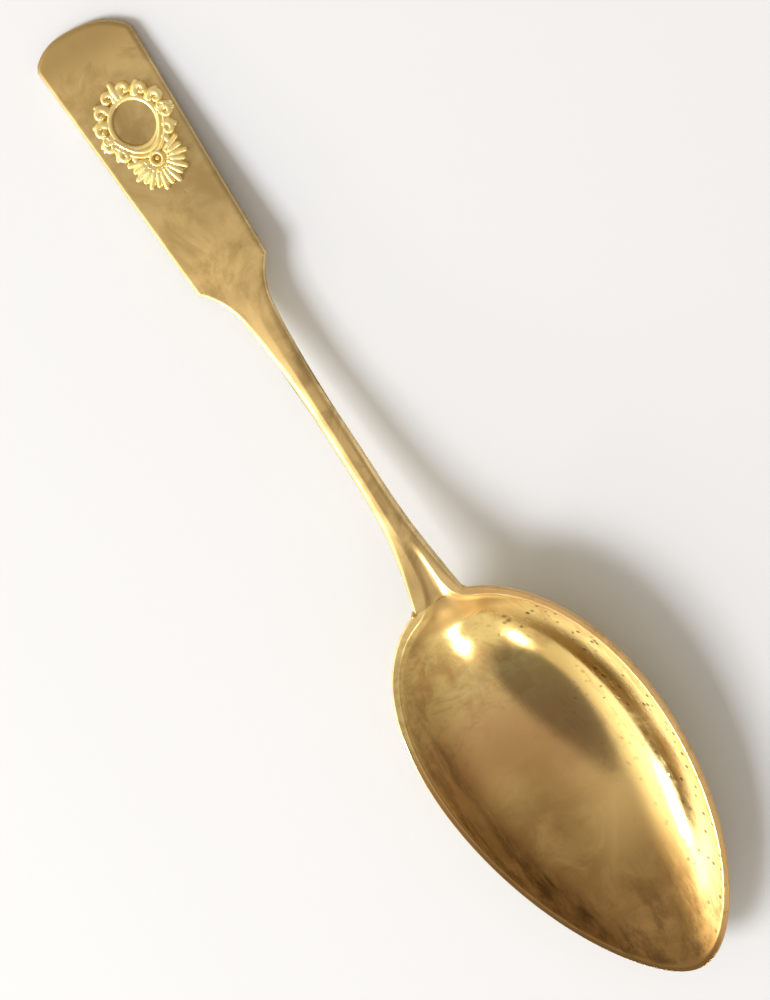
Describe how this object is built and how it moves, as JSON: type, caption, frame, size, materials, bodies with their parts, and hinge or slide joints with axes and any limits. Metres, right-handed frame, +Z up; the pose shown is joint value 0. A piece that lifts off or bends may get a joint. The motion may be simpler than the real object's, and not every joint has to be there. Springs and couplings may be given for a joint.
{
  "type": "souvenir spoon",
  "caption": "Gilt metal teaspoon with a pointed-oval bowl, slim stem, square-shouldered flat terminal and an applied scroll badge.",
  "frame": {"origin": "centre of the spoon's outline seen from above, on the surface it lies on", "axes": "+X along the spoon towards the bowl's tip, +Y across it, +Z up out of the open bowl"},
  "size_m": [0.14, 0.0316, 0.0105],
  "materials": {
    "bowl_metal": "polished gilt, with brown tarnish towards the rim and tip",
    "handle_metal": "satin gilt, rubbed, brighter along the edges",
    "badge_metal": "bright gilt",
    "solder": "gilded solder"
  },
  "bodies": {
    "root": {"bowl": "bowl_metal", "handle": "handle_metal", "neck_solder": "solder", "badge_frame": "badge_metal", "badge_spray": "badge_metal", "badge_solder": "solder"}
  },
  "joints": []
}
